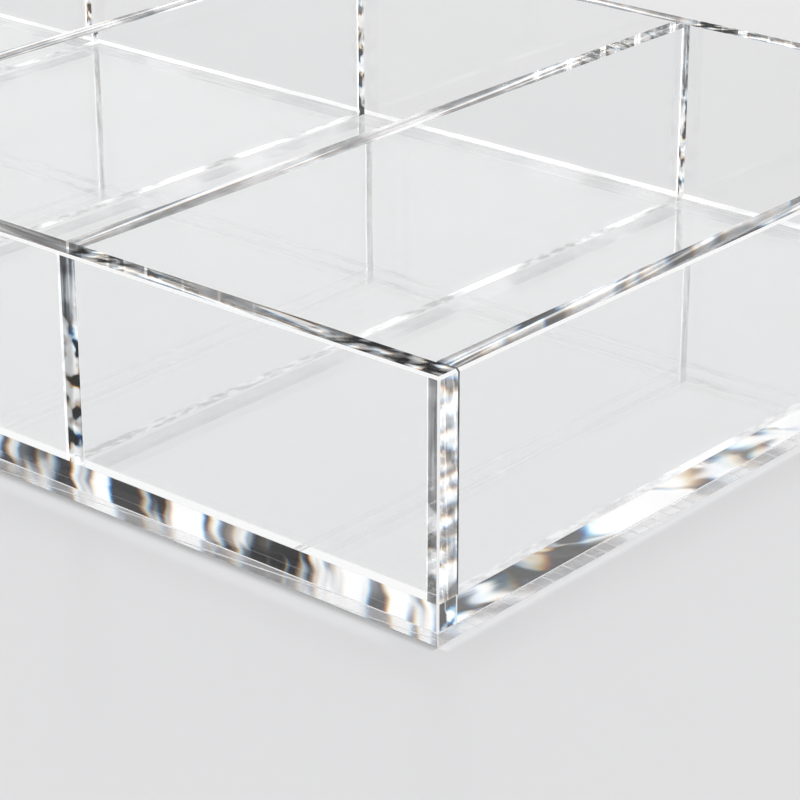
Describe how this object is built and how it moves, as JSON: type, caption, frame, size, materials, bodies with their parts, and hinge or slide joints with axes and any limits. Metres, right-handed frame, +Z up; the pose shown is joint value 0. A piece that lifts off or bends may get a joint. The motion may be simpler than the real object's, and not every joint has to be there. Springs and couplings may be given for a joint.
{
  "type": "eyeglasses tray",
  "caption": "Clear acrylic eyeglasses tray: flat polished plates bonded into open side-by-side bays with rim-high dividers on a two-layer base.",
  "frame": {"origin": "middle of the underside, on the surface that the tray stands on", "axes": "+X to the right end, along the row of bays; the front wall faces -Y, so the dividers run along Y; +Z up"},
  "size_m": [0.3104, 0.1628, 0.0406],
  "materials": {
    "clear_acrylic": "polished, clear"
  },
  "bodies": {
    "root": {"under_sheet": "clear_acrylic", "floor_plate": "clear_acrylic", "front_wall": "clear_acrylic", "back_wall": "clear_acrylic", "right_wall": "clear_acrylic", "left_wall": "clear_acrylic", "divider_1": "clear_acrylic", "divider_2": "clear_acrylic", "divider_3": "clear_acrylic"}
  },
  "joints": []
}
